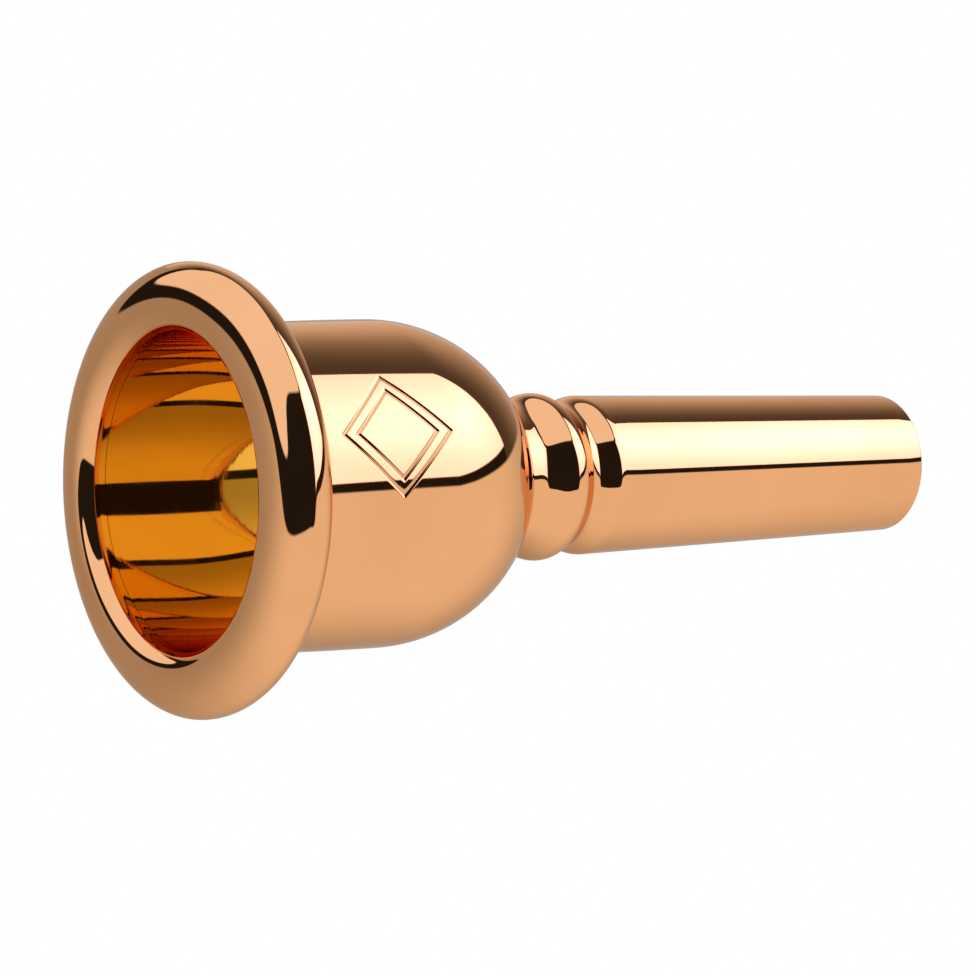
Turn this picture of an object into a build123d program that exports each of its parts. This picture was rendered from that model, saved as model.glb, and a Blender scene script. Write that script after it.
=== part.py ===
from build123d import *
import math
import os

# Millimetres. The mouthpiece is turned about X; "s" is the distance back from the rim's front.
LENGTH = 80.5

# rim
RIM_R = 19.5
RIM_CREST_R = 15.45
RIM_MID = 2.75
RIM_BACK = 5.5
RIM_BACK_FLAT_R = RIM_R - RIM_MID
BITE_DEPTH = 1.725
BITE_R = 13.64
RIM_FLOOR = 2.35

# cup
SEAM_GAP = 0.05
FLANGE_R = 15.25
CUP_FRONT_R = 14.17
CUP_R = 14.426
DOME_START = 20.66
DOME_DEPTH = 15.045
DOME_HEIGHT = 14.3
DOME_FOOT = 34.2
BOWL_MOUTH_R = 13.635
BOWL_MOUTH_SLOPE = -0.03
BOWL = [(8.0, 13.15), (14.0, 11.85), (19.0, 10.2), (24.0, 7.05), (26.6, 4.6)]
BOWL_FLOOR = 29.4
BOWL_FLOOR_R = 3.75
BOWL_FLOOR_SLOPE = -0.04

# throat and backbore
THROAT_R = 3.7
THROAT_START = 31.4
THROAT_END = 42.0
BACKBORE_R = 5.3

# neck, bead, collar and taper
NECK_R = 6.42
NECK = [(35.0, 6.44), (35.7, 6.46), (36.4, 6.57), (37.1, 6.85), (37.9, 7.36)]
BEAD = [(38.8, 7.58), (39.7, 7.38), (40.4, 6.94)]
COLLAR = [(41.0, 6.66), (41.7, 6.6), (42.6, 6.92), (43.6, 7.23)]
COLLAR_END = 44.35
COLLAR_R = 7.24
TIP_R = 6.5
TIP_EDGE = 0.15

# screw threads: each pair shares one pitch, and the nut stands CLEARANCE outside the screw
PITCH = 0.75
THREAD_DEPTH = 0.45
CLEARANCE = 0.1
CREST_HALF = 0.04
FLANK = math.tan(math.radians(30))
EMBED = 0.1
RIM_SCREW_R = 14.8
RIM_SCREW = (2.85, 4.35)
CUP_SCREW_R = 5.5
CUP_SCREW = (29.9, 32.9)

# rubber rings, each in a groove at the foot of its screw
RING_WIRE_R = 0.33
RIM_RING_S = 5.12
RIM_RING_R = 14.52
RIM_GROOVE = (4.7, 14.15)
SHANK_RING_S = 33.8
SHANK_RING_R = 5.43
RING_POCKET = (33.3, 5.82)

# engraved lozenge: two outlines on the side of the cup
MARK_S = 14.9
MARK_ANGLE = 21.0
MARK_SIZES = (5.6, 4.2)
MARK_LINE = 0.28
MARK_DEPTH = 0.12


def chain(*points):
    """Straight edges through the points."""
    return [Line(a, b) for a, b in zip(points, points[1:])]


def turned(edges):
    """The solid that the closed outline makes when it is turned about X."""
    return revolve(make_face(edges), Axis.X)


def ellipse_r(s, centre, half_length, half_height, base):
    return base + half_height * math.sqrt(1 - ((s - centre) / half_length) ** 2)


def ridge(base_r, crest_r, start, end, phase):
    """A helical thread ridge about X, from its base radius to its crest."""
    embedded = base_r + math.copysign(EMBED, base_r - crest_r)
    wide = CREST_HALF + abs(crest_r - embedded) * FLANK
    turns = (end - start) / PITCH
    path = Helix(pitch=PITCH, height=turns * PITCH, radius=base_r)
    outline = Polyline(
        (embedded, 0, -wide),
        (crest_r, 0, -CREST_HALF),
        (crest_r, 0, CREST_HALF),
        (embedded, 0, wide),
        close=True,
    )
    thread = sweep(make_face(outline), path=path, is_frenet=True)
    return Pos(start, 0, 0) * Rot(0, 90, 0) * Rot(0, 0, phase) * thread


def screw(major_r, span):
    return ridge(major_r - THREAD_DEPTH, major_r, *span, phase=0)


def nut(major_r, span):
    """The matching inward ridge, half a turn away from the screw's."""
    bore_r = major_r + CLEARANCE
    return ridge(bore_r, bore_r - THREAD_DEPTH, *span, phase=180)


def rim():
    outer = EllipticalCenterArc(
        (RIM_MID, RIM_CREST_R), RIM_MID, RIM_R - RIM_CREST_R, 90, arc_size=90
    )
    bite = EllipticalCenterArc(
        (BITE_DEPTH, RIM_CREST_R), BITE_DEPTH, RIM_CREST_R - BITE_R, 180, arc_size=90
    )
    mouth = Spline(
        (BITE_DEPTH, BITE_R),
        (RIM_FLOOR, BOWL_MOUTH_R),
        tangents=[(1, 0), (1, BOWL_MOUTH_SLOPE)],
    )
    back = CenterArc((RIM_MID, RIM_BACK_FLAT_R), RIM_MID, 0, 90)
    bore_r = RIM_SCREW_R + CLEARANCE
    seat = chain(
        (RIM_FLOOR, BOWL_MOUTH_R),
        (RIM_FLOOR, bore_r),
        (RIM_BACK, bore_r),
        (RIM_BACK, RIM_BACK_FLAT_R),
    )
    body = turned([outer, bite, mouth, *seat, back])
    return body + nut(RIM_SCREW_R, RIM_SCREW)


def cup():
    front = RIM_FLOOR + SEAM_GAP
    flange = RIM_BACK + SEAM_GAP
    fillet = FLANGE_R - CUP_FRONT_R
    base = CUP_R - DOME_HEIGHT
    foot_r = ellipse_r(DOME_FOOT, DOME_START, DOME_DEPTH, DOME_HEIGHT, base)
    foot_angle = math.degrees(math.asin((foot_r - base) / DOME_HEIGHT))
    root_r = RIM_SCREW_R - THREAD_DEPTH
    bowl = Spline(
        (front, BOWL_MOUTH_R + SEAM_GAP * BOWL_MOUTH_SLOPE),
        *BOWL,
        (BOWL_FLOOR, BOWL_FLOOR_R),
        tangents=[(1, BOWL_MOUTH_SLOPE), (1, BOWL_FLOOR_SLOPE)],
    )
    tip = chain(
        bowl @ 0,
        (front, root_r),
        (RIM_GROOVE[0], root_r),
        RIM_GROOVE,
        (flange, RIM_GROOVE[1]),
        (flange, FLANGE_R),
    )
    corner = CenterArc((flange + fillet, FLANGE_R), fillet, 180, 90)
    wall = TangentArc(
        (DOME_START, CUP_R), (flange + fillet, CUP_FRONT_R), tangent=(-1, 0)
    )
    dome = EllipticalCenterArc(
        (DOME_START, base), DOME_DEPTH, DOME_HEIGHT, foot_angle, arc_size=90 - foot_angle
    )
    bore_r = CUP_SCREW_R + CLEARANCE
    socket = chain(
        (DOME_FOOT, foot_r),
        (DOME_FOOT, RING_POCKET[1]),
        RING_POCKET,
        (RING_POCKET[0], bore_r),
        (BOWL_FLOOR, bore_r),
        (BOWL_FLOOR, BOWL_FLOOR_R),
    )
    body = turned([bowl, *tip, corner, wall, dome, *socket])
    body = body + screw(RIM_SCREW_R, RIM_SCREW)
    body = body + nut(CUP_SCREW_R, CUP_SCREW)
    return body - mark()


def mark():
    """Two lozenge outlines, as deep as MARK_DEPTH, in the side that faces -Y and up."""
    lines = Sketch()
    for size in MARK_SIZES:
        inner = size - MARK_LINE * math.sqrt(2)
        lines += Rot(0, 0, 45) * (
            Rectangle(size * math.sqrt(2), size * math.sqrt(2))
            - Rectangle(inner * math.sqrt(2), inner * math.sqrt(2))
        )
    stamp = extrude(lines, CUP_R + 5)
    skin = turned(chain(
        (MARK_S - 8, CUP_FRONT_R + 3),
        (MARK_S - 8, mark_floor(MARK_S - 8)),
        (MARK_S + 8, mark_floor(MARK_S + 8)),
        (MARK_S + 8, CUP_FRONT_R + 3),
        (MARK_S - 8, CUP_FRONT_R + 3),
    ))
    placed = Pos(MARK_S, 0, 0) * Rot(90 - MARK_ANGLE, 0, 0) * stamp
    return placed & skin


def mark_floor(s):
    """The radius of the engraved line's floor, a constant depth under the cup's curved wall."""
    front = RIM_BACK + SEAM_GAP + FLANGE_R - CUP_FRONT_R
    bulge = (DOME_START - s) / (DOME_START - front)
    return CUP_R - (CUP_R - CUP_FRONT_R) * bulge**2 - MARK_DEPTH


def shank():
    start = BOWL_FLOOR + SEAM_GAP
    shoulder = DOME_FOOT + SEAM_GAP
    root_r = CUP_SCREW_R - THREAD_DEPTH
    throat = Spline(
        (start, BOWL_FLOOR_R),
        (THROAT_START, THROAT_R),
        tangents=[(1, BOWL_FLOOR_SLOPE), (1, 0)],
    )
    bore = chain(
        (THROAT_START, THROAT_R),
        (THROAT_END, THROAT_R),
        (LENGTH, BACKBORE_R),
        (LENGTH, TIP_R - TIP_EDGE),
    )
    spigot = chain(
        throat @ 0,
        (start, root_r),
        (shoulder, root_r),
        (shoulder, NECK_R),
    )
    neck = Spline((shoulder, NECK_R), *NECK, *BEAD, *COLLAR, (COLLAR_END, COLLAR_R))
    taper = Line((COLLAR_END, COLLAR_R), (LENGTH - TIP_EDGE, TIP_R))
    edge = CenterArc((LENGTH - TIP_EDGE, TIP_R - TIP_EDGE), TIP_EDGE, 0, 90)
    body = turned([throat, *bore, *spigot, neck, taper, edge])
    return body + screw(CUP_SCREW_R, CUP_SCREW)


def rubber_ring(s, ring_r):
    section = Pos(s, ring_r) * Circle(RING_WIRE_R)
    return revolve(section, Axis.X)


def write_parts():
    parts = {
        "rim": rim(),
        "cup": cup(),
        "shank": shank(),
        "rim_o_ring": rubber_ring(RIM_RING_S, RIM_RING_R),
        "shank_o_ring": rubber_ring(SHANK_RING_S, SHANK_RING_R),
    }
    os.makedirs("parts", exist_ok=True)
    for name, shape in parts.items():
        (solid,) = (Pos(-LENGTH, 0, 0) * shape).solids()
        export_step(solid, f"parts/{name}.step")


write_parts()
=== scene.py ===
import math

import bpy
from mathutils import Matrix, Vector


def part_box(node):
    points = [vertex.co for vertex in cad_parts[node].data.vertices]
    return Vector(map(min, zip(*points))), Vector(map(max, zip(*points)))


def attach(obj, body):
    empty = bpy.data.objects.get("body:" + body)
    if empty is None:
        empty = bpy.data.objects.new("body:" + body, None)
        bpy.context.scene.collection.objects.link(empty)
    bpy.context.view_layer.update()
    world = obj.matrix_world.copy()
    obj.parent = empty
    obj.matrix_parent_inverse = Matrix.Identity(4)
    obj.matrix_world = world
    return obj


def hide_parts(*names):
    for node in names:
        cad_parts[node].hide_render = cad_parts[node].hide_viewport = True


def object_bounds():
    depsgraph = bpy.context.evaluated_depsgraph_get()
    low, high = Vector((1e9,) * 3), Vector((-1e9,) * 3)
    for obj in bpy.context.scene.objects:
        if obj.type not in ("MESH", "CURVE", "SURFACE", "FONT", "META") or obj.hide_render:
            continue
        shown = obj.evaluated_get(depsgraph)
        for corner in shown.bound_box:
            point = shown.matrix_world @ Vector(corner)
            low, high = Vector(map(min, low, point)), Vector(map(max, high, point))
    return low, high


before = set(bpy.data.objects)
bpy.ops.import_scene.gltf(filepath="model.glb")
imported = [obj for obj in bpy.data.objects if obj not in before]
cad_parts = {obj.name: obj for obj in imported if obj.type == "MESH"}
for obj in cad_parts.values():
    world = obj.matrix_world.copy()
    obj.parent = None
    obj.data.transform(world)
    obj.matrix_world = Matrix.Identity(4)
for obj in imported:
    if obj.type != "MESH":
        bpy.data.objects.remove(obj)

cad_low, cad_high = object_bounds()

MM = 0.001

# The mouthpiece is turned about X. "s" is the distance in millimetres back from the rim's front,
# as in the CAD source, and the front is at the CAD box's low end.
LENGTH = (cad_high.x - cad_low.x) / MM
RIM_R = (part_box("rim")[1].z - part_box("rim")[0].z) / 2 / MM

# rim
RIM_CREST_R = 15.45
RIM_MID = 2.75
RIM_BACK = 5.5
BITE_DEPTH = 1.725
BITE_R = 13.64
RIM_FLOOR = 2.35
RIM_BORE_R = 14.9

# cup
SEAM_GAP = 0.05
FLANGE_R = 15.25
CUP_FRONT_R = 14.17
CUP_R = 14.426
DOME_START = 20.66
DOME_DEPTH = 15.045
DOME_HEIGHT = 14.3
DOME_FOOT = 34.2
BOWL_MOUTH_R = 13.635
BOWL_MOUTH_SLOPE = -0.03
BOWL = [(8.0, 13.15), (14.0, 11.85), (19.0, 10.2), (24.0, 7.05), (26.6, 4.6)]
BOWL_FLOOR = 29.4
BOWL_FLOOR_R = 3.75
BOWL_FLOOR_SLOPE = -0.04
RIM_SCREW_ROOT_R = 14.35
RIM_GROOVE = (4.7, 14.15)
SOCKET_R = 5.6
RING_POCKET = (33.3, 5.82)

# throat, neck, bead, collar and taper
SPIGOT_R = 5.05
THROAT_R = 3.7
THROAT_START = 31.4
THROAT_END = 42.0
BACKBORE_R = 5.3
NECK_R = 6.42
NECK = [(35.0, 6.44), (35.7, 6.46), (36.4, 6.57), (37.1, 6.85), (37.9, 7.36)]
BEAD = [(38.8, 7.58), (39.7, 7.38), (40.4, 6.94)]
COLLAR = [(41.0, 6.66), (41.7, 6.6), (42.6, 6.92), (43.6, 7.23)]
COLLAR_END = 44.35
COLLAR_R = 7.24
TIP_R = 6.5
TIP_EDGE = 0.15

# screw threads: (root radius, crest radius, start, end, phase in degrees)
PITCH = 0.75
CREST_HALF = 0.04
FLANK = math.tan(math.radians(30))
EMBED = 0.1
THREADS = {
    "rim_inner_thread": ("rim", (14.9, 14.45, 2.85, 4.35, 180)),
    "cup_outer_thread": ("cup", (14.35, 14.8, 2.85, 4.35, 0)),
    "cup_inner_thread": ("cup", (5.6, 5.15, 29.9, 32.9, 180)),
    "shank_outer_thread": ("shank", (5.05, 5.5, 29.9, 32.9, 0)),
}

# rubber rings: (CAD node, body, distance back, ring radius)
RING_WIRE_R = 0.33
RINGS = {
    "rim_seal": ("rim_o_ring", "rim_ring", 5.12, 14.52),
    "shank_seal": ("shank_o_ring", "shank_ring", 33.8, 5.43),
}

# engraved lozenge: two outlines on the side of the cup that faces -Y and up
MARK_S = 14.9
MARK_ANGLE = 159.0
MARK_SIZES = (5.4, 4.0)
MARK_HALF_WIDTH = 0.2
MARK_DEPTH = 0.1

# mesh fineness
TURN_STEPS = 192
WALL_ROWS = 190
MARK_REACH = 25
MARK_STEPS = 170
REST_STEPS = 165
THREAD_STEPS = 60
THREAD_FADE = 8

# camera: the photograph's viewing angle, in the row frame
CAMERA_AT = Vector((-252.51, -283.34, 19.79)) * MM
CAMERA_AZIMUTH = -36.02
CAMERA_ELEVATION = 3.37
CAMERA_LENS = 144.26


# ---------------------------------------------------------------- outlines

def line(a, b, steps):
    """Points from a to b, without b."""
    return [
        (a[0] + (b[0] - a[0]) * i / steps, a[1] + (b[1] - a[1]) * i / steps)
        for i in range(steps)
    ]


def arc(centre, radii, start, end, steps):
    """Points on an ellipse from one angle to another, in degrees, without the last."""
    points = []
    for i in range(steps):
        t = math.radians(start + (end - start) * i / steps)
        points.append((centre[0] + radii[0] * math.cos(t), centre[1] + radii[1] * math.sin(t)))
    return points


def curve(points, start_slope=None, end_slope=None, steps=12):
    """A smooth curve r(s) through the points, without the last.

    It is a cubic spline, natural at an end where no slope is given.
    """
    n = len(points)
    xs = [p[0] for p in points]
    ys = [p[1] for p in points]
    h = [xs[i + 1] - xs[i] for i in range(n - 1)]
    rows = []
    for i in range(n):
        row = [0.0] * (n + 1)
        if i == 0:
            row[0], row[1] = (1, 0) if start_slope is not None else (2, 1)
            row[n] = start_slope if start_slope is not None else 3 * (ys[1] - ys[0]) / h[0]
        elif i == n - 1:
            row[n - 1], row[n - 2] = (1, 0) if end_slope is not None else (2, 1)
            row[n] = end_slope if end_slope is not None else 3 * (ys[-1] - ys[-2]) / h[-1]
        else:
            row[i - 1], row[i], row[i + 1] = h[i], 2 * (h[i] + h[i - 1]), h[i - 1]
            row[n] = 3 * (h[i] * (ys[i] - ys[i - 1]) / h[i - 1] + h[i - 1] * (ys[i + 1] - ys[i]) / h[i])
        rows.append(row)
    for i in range(n):
        pivot = rows[i][i]
        rows[i] = [v / pivot for v in rows[i]]
        for j in range(n):
            if j != i and rows[j][i]:
                factor = rows[j][i]
                rows[j] = [a - factor * b for a, b in zip(rows[j], rows[i])]
    slopes = [row[n] for row in rows]
    out = []
    for i in range(n - 1):
        for k in range(steps):
            t = k / steps
            r = (1 + 2 * t) * (1 - t) ** 2 * ys[i]
            r += t * (1 - t) ** 2 * h[i] * slopes[i]
            r += t * t * (3 - 2 * t) * ys[i + 1]
            r += t * t * (t - 1) * h[i] * slopes[i + 1]
            out.append((xs[i] + h[i] * t, r))
    return out


def rim_outline():
    outer = arc((RIM_MID, RIM_CREST_R), (RIM_MID, RIM_R - RIM_CREST_R), 90, 180, 40)
    bite = arc((BITE_DEPTH, RIM_CREST_R), (BITE_DEPTH, RIM_CREST_R - BITE_R), 180, 270, 30)
    mouth = curve([(BITE_DEPTH, BITE_R), (RIM_FLOOR, BOWL_MOUTH_R)], 0, BOWL_MOUTH_SLOPE, 5)
    back_r = RIM_R - RIM_MID
    seat = line((RIM_FLOOR, BOWL_MOUTH_R), (RIM_FLOOR, RIM_BORE_R), 3)
    seat += line((RIM_FLOOR, RIM_BORE_R), (RIM_BACK, RIM_BORE_R), 4)
    seat += line((RIM_BACK, RIM_BORE_R), (RIM_BACK, back_r), 4)
    back = arc((RIM_MID, back_r), (RIM_MID, RIM_MID), 0, 90, 28)
    return [("plate", outer + bite), ("lining", mouth), ("plate", seat + back)]


def bowl():
    front = RIM_FLOOR + SEAM_GAP
    points = [(front, BOWL_MOUTH_R + SEAM_GAP * BOWL_MOUTH_SLOPE), *BOWL, (BOWL_FLOOR, BOWL_FLOOR_R)]
    return curve(points, BOWL_MOUTH_SLOPE, BOWL_FLOOR_SLOPE, 10)


def cup_outline():
    front = RIM_FLOOR + SEAM_GAP
    flange = RIM_BACK + SEAM_GAP
    fillet = FLANGE_R - CUP_FRONT_R
    base = CUP_R - DOME_HEIGHT
    foot_r = base + DOME_HEIGHT * math.sqrt(1 - ((DOME_FOOT - DOME_START) / DOME_DEPTH) ** 2)
    foot = math.degrees(math.asin((foot_r - base) / DOME_HEIGHT))
    inside = bowl()
    tip = line((BOWL_FLOOR, BOWL_FLOOR_R), (BOWL_FLOOR, SOCKET_R), 3)
    tip += line((BOWL_FLOOR, SOCKET_R), (RING_POCKET[0], SOCKET_R), 4)
    tip += line((RING_POCKET[0], SOCKET_R), RING_POCKET, 1)
    tip += line(RING_POCKET, (DOME_FOOT, RING_POCKET[1]), 2)
    tip += line((DOME_FOOT, RING_POCKET[1]), (DOME_FOOT, foot_r), 2)
    dome = arc((DOME_START, base), (DOME_DEPTH, DOME_HEIGHT), foot, 90, 70)
    wall = []
    wall_start = flange + fillet
    sag = (CUP_R - CUP_FRONT_R) / (DOME_START - wall_start) ** 2
    for i in range(WALL_ROWS):
        s = DOME_START + (wall_start - DOME_START) * i / WALL_ROWS
        wall.append((s, CUP_R - sag * (DOME_START - s) ** 2))
    corner = arc((wall_start, FLANGE_R), (fillet, fillet), 270, 180, 10)
    lip = line((flange, FLANGE_R), (flange, RIM_GROOVE[1]), 3)
    lip += line((flange, RIM_GROOVE[1]), RIM_GROOVE, 2)
    lip += line(RIM_GROOVE, (RIM_GROOVE[0], RIM_SCREW_ROOT_R), 1)
    lip += line((RIM_GROOVE[0], RIM_SCREW_ROOT_R), (front, RIM_SCREW_ROOT_R), 3)
    lip += line((front, RIM_SCREW_ROOT_R), inside[0], 2)
    return [("lining", inside), ("plate", tip + dome + wall + corner + lip)]


def shank_outline():
    start = BOWL_FLOOR + SEAM_GAP
    shoulder = DOME_FOOT + SEAM_GAP
    throat = curve([(start, BOWL_FLOOR_R), (THROAT_START, THROAT_R)], BOWL_FLOOR_SLOPE, 0, 6)
    bore = line((THROAT_START, THROAT_R), (THROAT_END, THROAT_R), 6)
    bore += line((THROAT_END, THROAT_R), (LENGTH, BACKBORE_R), 16)
    end = line((LENGTH, BACKBORE_R), (LENGTH, TIP_R - TIP_EDGE), 3)
    edge = arc((LENGTH - TIP_EDGE, TIP_R - TIP_EDGE), (TIP_EDGE, TIP_EDGE), 0, 90, 8)
    taper = line((LENGTH - TIP_EDGE, TIP_R), (COLLAR_END, COLLAR_R), 24)
    neck = curve([(shoulder, NECK_R), *NECK, *BEAD, *COLLAR, (COLLAR_END, COLLAR_R)], steps=10)
    neck.append((COLLAR_END, COLLAR_R))
    neck = neck[:0:-1]
    spigot = line((shoulder, NECK_R), (shoulder, SPIGOT_R), 3)
    spigot += line((shoulder, SPIGOT_R), (start, SPIGOT_R), 5)
    spigot += line((start, SPIGOT_R), throat[0], 2)
    return [("lining", throat + bore), ("plate", end + edge + taper + neck + spigot)]


# ---------------------------------------------------------------- meshes

def new_object(name, vertices, faces):
    mesh = bpy.data.meshes.new(name)
    mesh.from_pydata(vertices, [], faces)
    mesh.update()
    obj = bpy.data.objects.new(name, mesh)
    bpy.context.scene.collection.objects.link(obj)
    return obj


def shade(obj, sharp_degrees=24):
    """Smooth shading, kept sharp at edges that turn more than the angle."""
    mesh = obj.data
    mesh.polygons.foreach_set("use_smooth", [True] * len(mesh.polygons))
    mesh.set_sharp_from_angle(angle=math.radians(sharp_degrees))


def engraved(s, t):
    """How deep the lozenge's lines are at one point of the cup's side, in millimetres."""
    across = (t - math.radians(MARK_ANGLE)) * CUP_R
    reach = abs(s - MARK_S) + abs(across)
    depth = 0.0
    for size in MARK_SIZES:
        off = abs(reach - size) / math.sqrt(2)
        if off < MARK_HALF_WIDTH:
            depth = max(depth, MARK_DEPTH * math.cos(math.pi / 2 * off / MARK_HALF_WIDTH) ** 2)
    return depth


def even_columns():
    return [2 * math.pi * i / TURN_STEPS for i in range(TURN_STEPS)]


def mark_columns():
    """Fine columns across the lozenge, and the usual ones round the rest."""
    low = math.radians(MARK_ANGLE - MARK_REACH)
    high = math.radians(MARK_ANGLE + MARK_REACH)
    fine = [low + (high - low) * i / MARK_STEPS for i in range(MARK_STEPS)]
    rest = [high + (2 * math.pi - high + low) * i / REST_STEPS for i in range(REST_STEPS)]
    return fine + rest


def lathe(name, outline, node, columns, press=None, sharp=24):
    """The solid that a closed outline makes when it is turned about X. It stands for the CAD node."""
    points = [p for _, run in outline for p in run]
    finish = [kind for kind, run in outline for _ in run]
    vertices = []
    for t in columns:
        for s, r in points:
            if press and r > CUP_FRONT_R - 0.01 and s > RIM_BACK + 1:
                r -= press(s, t)
            vertices.append(((s - LENGTH) * MM, r * math.cos(t) * MM, r * math.sin(t) * MM))
    n = len(points)
    faces = []
    for i in range(len(columns)):
        j = (i + 1) % len(columns)
        for k in range(n):
            m = (k + 1) % n
            faces.append((i * n + m, i * n + k, j * n + k, j * n + m))
    obj = new_object(name, vertices, faces)
    obj.data.materials.append(PLATE)
    obj.data.materials.append(LINING)
    slots = [int(kind == "lining") for kind in finish] * len(columns)
    obj.data.polygons.foreach_set("material_index", slots)
    shade(obj, sharp)
    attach(obj, node)
    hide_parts(node)


def thread(name, node, root_r, crest_r, start, end, phase):
    """A helical ridge, faded at both ends, that rides with its node."""
    base_r = root_r + math.copysign(EMBED, root_r - crest_r)
    steps = round((end - start) / PITCH * THREAD_STEPS)
    vertices = []
    for i in range(steps + 1):
        turn = i / THREAD_STEPS
        fade = min(1, i / THREAD_FADE, (steps - i) / THREAD_FADE)
        tip_r = base_r + (crest_r - base_r) * fade
        wide = CREST_HALF + abs(tip_r - base_r) * FLANK
        t = 2 * math.pi * turn + math.radians(phase - 90)
        s = start + PITCH * turn
        for along, r in ((-wide, base_r), (-CREST_HALF, tip_r), (CREST_HALF, tip_r), (wide, base_r)):
            x = (s + along - LENGTH) * MM
            vertices.append((x, r * math.cos(t) * MM, r * math.sin(t) * MM))
    faces = []
    for i in range(steps):
        for k in range(4):
            m = (k + 1) % 4
            faces.append((4 * i + k, 4 * i + m, 4 * i + 4 + m, 4 * i + 4 + k))
    faces.append((3, 2, 1, 0))
    faces.append((4 * steps, 4 * steps + 1, 4 * steps + 2, 4 * steps + 3))
    if crest_r < root_r:
        faces = [face[::-1] for face in faces]
    obj = new_object(name, vertices, faces)
    obj.data.materials.append(PLATE)
    shade(obj)
    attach(obj, node)


def rubber_ring(name, node, body, s, ring_r, columns=120, steps=20):
    vertices = []
    for i in range(columns):
        t = 2 * math.pi * i / columns
        for k in range(steps):
            a = 2 * math.pi * k / steps
            r = ring_r + RING_WIRE_R * math.sin(a)
            x = s + RING_WIRE_R * math.cos(a) - LENGTH
            vertices.append((x * MM, r * math.cos(t) * MM, r * math.sin(t) * MM))
    faces = []
    for i in range(columns):
        j = (i + 1) % columns
        for k in range(steps):
            m = (k + 1) % steps
            faces.append((i * steps + m, i * steps + k, j * steps + k, j * steps + m))
    obj = new_object(name, vertices, faces)
    obj.data.materials.append(RUBBER)
    shade(obj)
    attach(obj, body)
    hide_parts(node)


# ---------------------------------------------------------------- shaders

class Graph:
    """Short ways to make shader nodes in one tree."""

    def __init__(self, tree):
        self.tree = tree
        tree.nodes.clear()

    def node(self, kind, **settings):
        made = self.tree.nodes.new(kind)
        for key, value in settings.items():
            setattr(made, key, value)
        return made

    def feed(self, socket, value):
        if hasattr(value, "is_output"):
            self.tree.links.new(value, socket)
        else:
            socket.default_value = value

    def math(self, operation, a, b=0.0, c=0.0):
        made = self.node("ShaderNodeMath", operation=operation)
        for socket, value in zip(made.inputs, (a, b, c)):
            self.feed(socket, value)
        return made.outputs[0]

    def noise(self, place, scale, detail):
        made = self.node("ShaderNodeTexNoise")
        self.feed(made.inputs["Vector"], place)
        self.feed(made.inputs["Scale"], float(scale))
        self.feed(made.inputs["Detail"], float(detail))
        return made.outputs[0]

    def bump(self, height, distance, under=None):
        """Relief as tall as the distance, in metres."""
        made = self.node("ShaderNodeBump")
        self.feed(made.inputs["Height"], height)
        self.feed(made.inputs["Distance"], distance)
        if under:
            self.feed(made.inputs["Normal"], under)
        return made.outputs[0]

    def step(self, value, low, high):
        """0 below low, 1 above high, smooth between."""
        made = self.node("ShaderNodeMapRange", interpolation_type="SMOOTHSTEP")
        self.feed(made.inputs["Value"], value)
        self.feed(made.inputs["From Min"], low)
        self.feed(made.inputs["From Max"], high)
        return made.outputs["Result"]

    def by_azimuth(self, azimuth, points):
        """A smooth function of the azimuth through (azimuth, elevation) points, in degrees."""
        made = self.node("ShaderNodeFloatCurve")
        shape = made.mapping.curves[0]
        while len(shape.points) > 2:
            shape.points.remove(shape.points[1])
        scaled = [((a + 180) / 360, (e + 90) / 180) for a, e in points]
        shape.points[0].location = scaled[0]
        shape.points[1].location = scaled[-1]
        for x, y in scaled[1:-1]:
            shape.points.new(x, y)
        made.mapping.update()
        self.feed(made.inputs["Value"], self.math("MULTIPLY_ADD", azimuth, 1 / 360, 0.5))
        return self.math("MULTIPLY_ADD", made.outputs[0], 180, -90)

    def blend(self, amount, below, above):
        """below where amount is 0, above where it is 1."""
        made = self.node("ShaderNodeMix", data_type="RGBA")
        self.feed(made.inputs["Factor"], amount)
        for socket, value in ((made.inputs[6], below), (made.inputs[7], above)):
            self.feed(socket, value if hasattr(value, "is_output") else (*value, 1))
        return made.outputs[2]


def plated(name, pale, deep, edge, polish, turned, wave):
    """Mirror polish over thin gold: two close tones, uneven polish, faint turning lines and a slow wave."""
    material = bpy.data.materials.new(name)
    material.use_nodes = True
    g = Graph(material.node_tree)
    place = g.node("ShaderNodeTexCoord").outputs["Object"]
    tone = g.step(g.noise(place, 70, 3), 0.35, 0.65)
    smear = g.step(g.noise(place, 420, 5), 0.3, 0.75)
    split = g.node("ShaderNodeSeparateXYZ")
    g.feed(split.inputs[0], place)
    lines = g.node("ShaderNodeTexNoise", noise_dimensions="1D")
    g.feed(lines.inputs["W"], split.outputs[0])
    g.feed(lines.inputs["Scale"], 1500.0)
    g.feed(lines.inputs["Detail"], 2.0)
    hollow = g.bump(lines.outputs[0], turned)
    hollow = g.bump(g.noise(place, 45, 1), wave, hollow)
    shader = g.node("ShaderNodeBsdfPrincipled")
    g.feed(shader.inputs["Base Color"], g.blend(tone, pale, deep))
    g.feed(shader.inputs["Metallic"], 1.0)
    g.feed(shader.inputs["Specular Tint"], (*edge, 1))
    g.feed(shader.inputs["Roughness"], g.math("MULTIPLY_ADD", smear, polish[1] - polish[0], polish[0]))
    g.feed(shader.inputs["Normal"], hollow)
    g.feed(g.node("ShaderNodeOutputMaterial").inputs["Surface"], shader.outputs[0])
    return material


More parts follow.
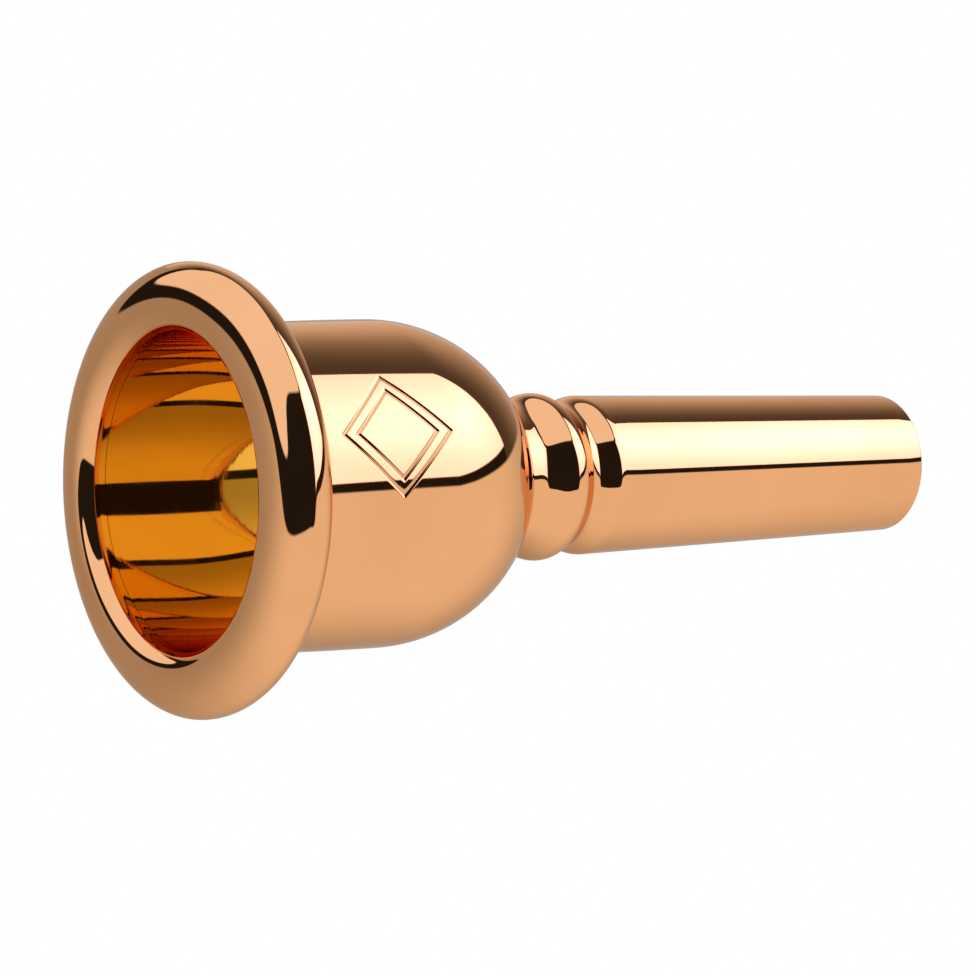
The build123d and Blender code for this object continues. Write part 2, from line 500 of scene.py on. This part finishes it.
def rubber():
    """Black nitrile with a dusty, slightly grained skin."""
    material = bpy.data.materials.new("nitrile_rubber")
    material.use_nodes = True
    g = Graph(material.node_tree)
    place = g.node("ShaderNodeTexCoord").outputs["Object"]
    dust = g.step(g.noise(place, 900, 4), 0.4, 0.75)
    shader = g.node("ShaderNodeBsdfPrincipled")
    g.feed(shader.inputs["Base Color"], g.blend(dust, (0.012, 0.012, 0.013), (0.04, 0.038, 0.036)))
    g.feed(shader.inputs["Roughness"], g.math("MULTIPLY_ADD", dust, 0.25, 0.4))
    g.feed(shader.inputs["Normal"], g.bump(g.noise(place, 5000, 3), 0.00001))
    g.feed(g.node("ShaderNodeOutputMaterial").inputs["Surface"], shader.outputs[0])
    return material


# ---------------------------------------------------------------- studio

# TABLE_FRONT and TABLE_BACK are lamp light where the world shows the table, and painted glow on the floor
TABLE_FRONT = (1.05, 1.05, 1.05)
TABLE_BACK = (0.5, 0.5, 0.5)
OVERHEAD = (1.2, 1.3, 1.5)
DARK = (0.02, 0.02, 0.02)
BACK_WALL = (0.9, 0.87, 0.85)
SOFTBOX_EDGE = (2.2, 2.1, 2.9)
SOFTBOX_MIDDLE = (3.4, 3.3, 5.0)
SOFTBOX_SIDES = (24.0, 83.0)
SOFTBOX_CENTRE = (58, 33)
SOFTBOX_SPREAD = (30, 18)
WHITE = (1.0, 1.0, 1.0)
FLOOR_Z = -0.045
FLOOR_REACH = 3.0
FLOOR_LOWEST_DROP = 0.8

# lower edge of the overhead diffuser: (azimuth, elevation) in degrees, where azimuth 0 is -Y and 90 is +X
OVERHEAD_EDGE = [
    (-180, 45), (-172, 33), (-163, 21), (-145, 22), (-120, 27), (-104, 22), (-90, 10), (-80, 9),
    (-70, 21), (-60, 33), (-45, 42), (-20, 47), (0, 48), (25, 48), (40, 57), (60, 64), (85, 68),
    (110, 66), (130, 62), (150, 56), (180, 45),
]
# upper edge of the white table and of the white wall behind it, in the same angles
TABLE_EDGE = [
    (-180, 34), (-172, 20), (-163, 9), (-145, 10), (-125, 14), (-110, 9), (-100, -1), (-90, -8),
    (-75, -13), (-45, -16), (0, -15), (20, -13), (27, -3), (50, 2), (80, 7), (95, 9), (130, 10),
    (160, 20), (180, 34),
]


def table_light(g, y):
    """The white table's light, brightest at the front, toward the camera: lamp light in the world, painted
    light on the glowing floor.
    """
    return g.blend(g.step(y, -0.45, 0.9), TABLE_FRONT, TABLE_BACK)


def studio():
    """The white table, the softbox at front right, the diffuser overhead and the dark room between them."""
    world = bpy.data.worlds.new("studio")
    bpy.context.scene.world = world
    world.use_nodes = True
    g = Graph(world.node_tree)
    direction = g.node("ShaderNodeTexCoord").outputs["Generated"]
    split = g.node("ShaderNodeSeparateXYZ")
    g.feed(split.inputs[0], direction)
    x, y, z = split.outputs
    azimuth = g.math("MULTIPLY", g.math("ARCTAN2", x, g.math("MULTIPLY", y, -1.0)), 180 / math.pi)
    elevation = g.math("MULTIPLY", g.math("ARCSINE", z), 180 / math.pi)
    over = g.math("SUBTRACT", elevation, g.by_azimuth(azimuth, OVERHEAD_EDGE))
    above_table = g.math("SUBTRACT", elevation, g.by_azimuth(azimuth, TABLE_EDGE))

    wall = g.math("MULTIPLY", g.step(azimuth, 84.0, 160.0), g.step(over, 0.0, -30.0))
    room = g.blend(wall, DARK, BACK_WALL)
    haze = g.math("MULTIPLY", g.step(azimuth, 80.0, 84.0), g.step(azimuth, 178.0, 150.0))
    room = g.blend(g.math("MULTIPLY", haze, 0.08), room, (1.0, 0.9, 0.9))

    off_centre = 0.0
    for angle, centre, spread in zip((azimuth, elevation), SOFTBOX_CENTRE, SOFTBOX_SPREAD):
        off = g.math("MULTIPLY_ADD", angle, 1 / spread, -centre / spread)
        off_centre = g.math("ADD", g.math("POWER", off, 2.0), off_centre)
    middle = g.math("POWER", math.e, g.math("MULTIPLY", off_centre, -1.0))
    left, right = SOFTBOX_SIDES
    soft = g.math("MULTIPLY", g.step(azimuth, left, left + 3), g.step(azimuth, right, right - 1.5))
    soft = g.math("MULTIPLY", soft, g.step(over, -4.0, -6.0))
    soft = g.math("MULTIPLY", soft, g.step(above_table, 5.0, 6.0))
    room = g.blend(soft, room, g.blend(middle, SOFTBOX_EDGE, SOFTBOX_MIDDLE))

    light = g.blend(g.step(above_table, -0.7, 0.7), table_light(g, y), room)
    light = g.blend(g.step(over, -1.0, 1.0), light, OVERHEAD)
    light = g.blend(g.node("ShaderNodeLightPath").outputs["Is Camera Ray"], light, WHITE)
    background = g.node("ShaderNodeBackground")
    g.feed(background.inputs["Color"], light)
    g.feed(g.node("ShaderNodeOutputWorld").inputs["Surface"], background.outputs[0])


def table_edge(azimuth):
    """The table edge's elevation, straight between the points of TABLE_EDGE."""
    for a, b in zip(TABLE_EDGE, TABLE_EDGE[1:]):
        if a[0] <= azimuth <= b[0]:
            return a[1] + (b[1] - a[1]) * (azimuth - a[0]) / (b[0] - a[0])


def white_floor():
    """A white table under the mouthpiece that glows with painted light instead of being lit, so it leaves
    no shadow; its painted glow is brighter at the front and darker at the back. Its edge is at TABLE_EDGE.
    """
    middle = (cad_low + cad_high) / 2
    vertices = []
    for azimuth in range(-180, 180, 3):
        drop = math.radians(max(FLOOR_LOWEST_DROP, -table_edge(azimuth)))
        reach = min(FLOOR_REACH, -FLOOR_Z / math.tan(drop))
        t = math.radians(azimuth)
        vertices.append((reach * math.sin(t), -reach * math.cos(t), FLOOR_Z))
    floor = new_object("floor", vertices, [tuple(range(len(vertices)))])
    floor.location = (middle.x, middle.y, 0)
    # painted light: this material makes the floor glow like a lit table instead of being lit
    material = bpy.data.materials.new("painted_glow_table")
    material.use_nodes = True
    g = Graph(material.node_tree)
    place = g.node("ShaderNodeTexCoord").outputs["Object"]
    direction = g.node("ShaderNodeVectorMath", operation="NORMALIZE")
    g.feed(direction.inputs[0], place)
    split = g.node("ShaderNodeSeparateXYZ")
    g.feed(split.inputs[0], direction.outputs[0])
    # painted light: the floor's glow is brighter at the front and darker at the back, as a lit table would
    # look
    light = table_light(g, split.outputs[1])
    light = g.blend(g.node("ShaderNodeLightPath").outputs["Is Camera Ray"], light, WHITE)
    glow = g.node("ShaderNodeEmission")
    g.feed(glow.inputs["Color"], light)
    g.feed(g.node("ShaderNodeOutputMaterial").inputs["Surface"], glow.outputs[0])
    floor.data.materials.append(material)


def add_camera():
    data = bpy.data.cameras.new("camera")
    camera = bpy.data.objects.new("camera", data)
    bpy.context.scene.collection.objects.link(camera)
    data.sensor_width = 36
    data.lens = CAMERA_LENS
    data.clip_start = 0.01
    data.clip_end = 20
    camera.location = CAMERA_AT
    camera.rotation_euler = (
        math.radians(90 - CAMERA_ELEVATION),
        0,
        math.radians(CAMERA_AZIMUTH),
    )
    bpy.context.scene.camera = camera


# ---------------------------------------------------------------- the scene

PLATE = plated(
    name="rose_gold_plate",
    pale=(0.78, 0.385, 0.172),
    deep=(0.745, 0.362, 0.158),
    edge=(0.95, 0.82, 0.7),
    polish=(0.02, 0.045),
    turned=6e-7,
    wave=1.5e-5,
)
LINING = plated(
    name="gold_lining",
    pale=(0.87, 0.575, 0.18),
    deep=(0.84, 0.555, 0.165),
    edge=(0.98, 0.9, 0.75),
    polish=(0.02, 0.05),
    turned=1e-6,
    wave=1.5e-5,
)
RUBBER = rubber()

add_camera()
lathe("screw_rim", rim_outline(), "rim", even_columns())
lathe("turned_cup", cup_outline(), "cup", mark_columns(), engraved, 40)
lathe("beaded_shank", shank_outline(), "shank", even_columns())
for name, (node, sizes) in THREADS.items():
    thread(name, node, *sizes)
for name, sizes in RINGS.items():
    rubber_ring(name, *sizes)
studio()
white_floor()
scene = bpy.context.scene
scene.view_settings.view_transform = "Standard"
scene.cycles.max_bounces = 24
scene.cycles.glossy_bounces = 24
